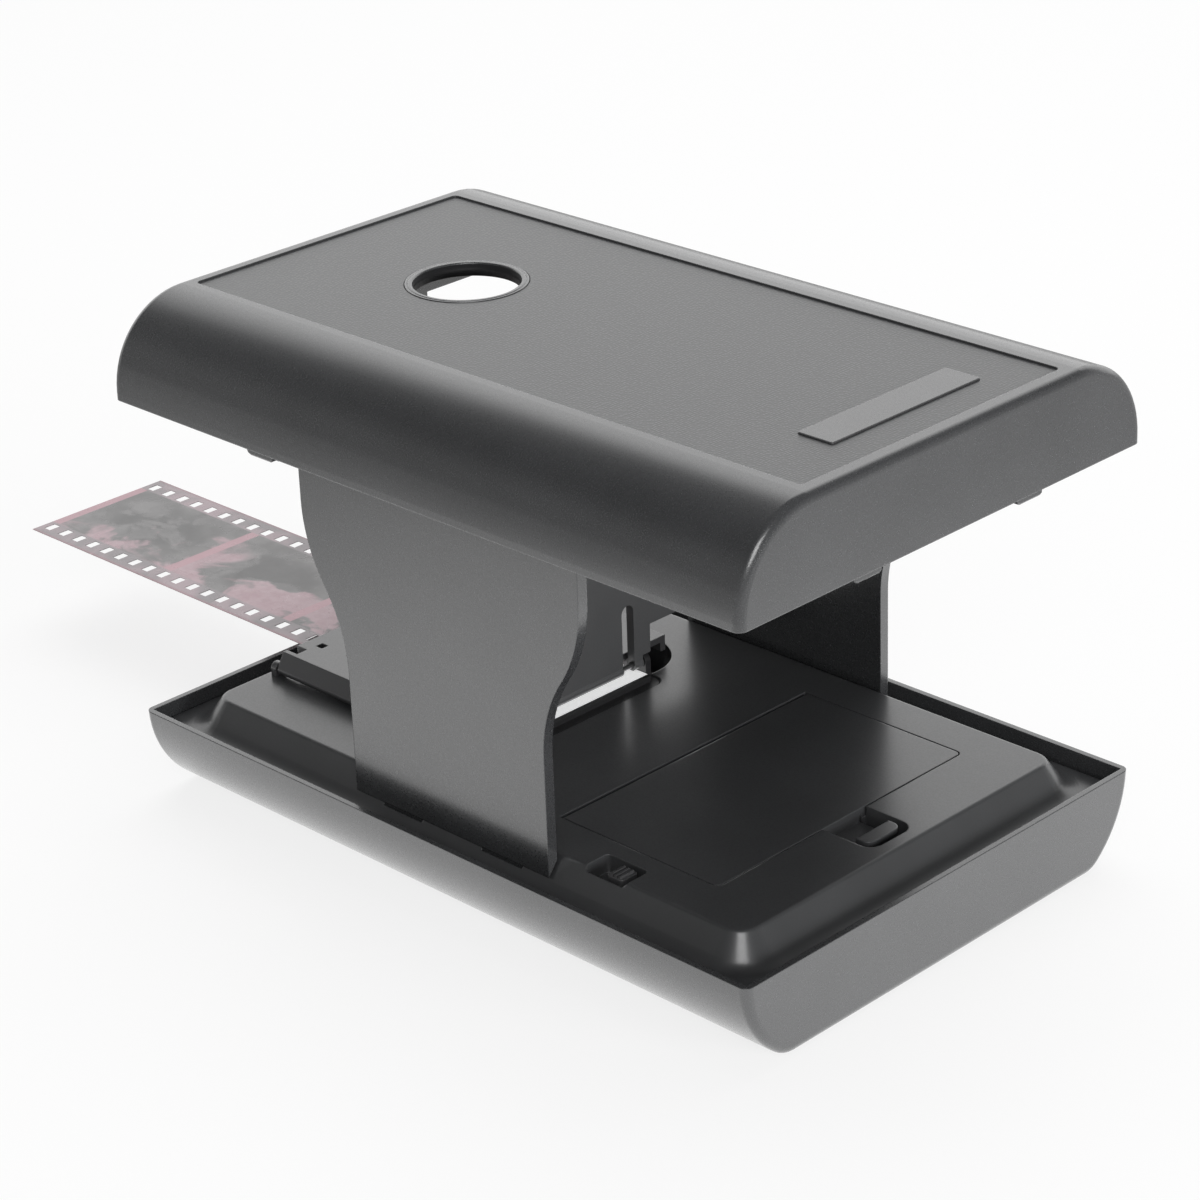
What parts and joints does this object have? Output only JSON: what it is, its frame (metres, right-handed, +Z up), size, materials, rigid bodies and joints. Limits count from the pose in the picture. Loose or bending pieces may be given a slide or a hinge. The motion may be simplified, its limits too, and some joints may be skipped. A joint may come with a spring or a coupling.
{
  "type": "film negative scanner",
  "caption": "Folding film negative scanner: tray base with lit film gate and cell bay, two waisted side walls and a flat hollow cover with a round viewing hole.",
  "frame": {"origin": "middle of the base's flat underside, in the plane of the underside; the rubber feet stand 0.8 mm below it", "axes": "+Z up, +X along the length away from the film inlet, -Y towards the side with the power switch"},
  "size_m": [0.2387, 0.104, 0.1012],
  "materials": {
    "shell": "fine moulded grain, satin black",
    "deck": "satin black",
    "grip": "fine leather-like grain",
    "plate": "smooth, bare",
    "gate": "satin black",
    "inner": "black",
    "diffuser": "opal white",
    "board": "circuit board",
    "led": "clear resin",
    "cell": "plain sleeved can",
    "contact": "nickel plated",
    "steel": "zinc plated",
    "knob": "ribbed grey",
    "wire": "insulated wire",
    "foot": "soft",
    "film": "developed negative film"
  },
  "bodies": {
    "base": {"base_shell": "shell", "deck": "deck", "film_entry_guide": "gate", "light_box": "inner", "shield_pin": "steel", "diffuser_plate": "diffuser", "led_board": "board", "leds": "led", "battery_holder": "inner", "aa_cells": "cell", "contact_springs": "contact", "contact_plates": "contact", "switch_body": "steel", "power_wires": "wire", "housing_screws": "steel", "rubber_feet": "foot"},
    "stand": {"near_side_wall": "shell", "far_side_wall": "shell"},
    "cover": {"top_cover": "shell", "grip_panel": "grip", "label_plate": "plate"},
    "shield": {"light_shield": "shell"},
    "gate": {"gate_lid": "gate"},
    "film": {"film_strip": "film"},
    "door": {"battery_door": "deck"},
    "knob": {"switch_knob": "knob"}
  },
  "joints": [
    {"name": "stand_lift", "type": "slide", "parent": "base", "child": "stand", "axis": [0, 0, 1], "range_m": [0, 0.03]},
    {"name": "cover_lift", "type": "slide", "parent": "stand", "child": "cover", "axis": [0, 0, 1], "range_m": [0, 0.03]},
    {"name": "shield_fold", "type": "hinge", "parent": "base", "child": "shield", "pos_m": [-0.0129, 0, 0.023], "axis": [0, -1, 0], "range_deg": [-90, 0]},
    {"name": "gate_lid_hinge", "type": "hinge", "parent": "base", "child": "gate", "pos_m": [-0.038, -0.0278, 0.0214], "axis": [1, 0, 0], "range_deg": [0, 85]},
    {"name": "film_feed", "type": "slide", "parent": "base", "child": "film", "axis": [1, 0, 0], "range_m": [-0.1, 0.033]},
    {"name": "battery_door_hinge", "type": "hinge", "parent": "base", "child": "door", "pos_m": [0.0174, 0, 0.0191], "axis": [0, -1, 0], "range_deg": [0, 75]},
    {"name": "power_switch", "type": "slide", "parent": "base", "child": "knob", "axis": [-1, 0, 0], "range_m": [0, 0.0028]}
  ]
}
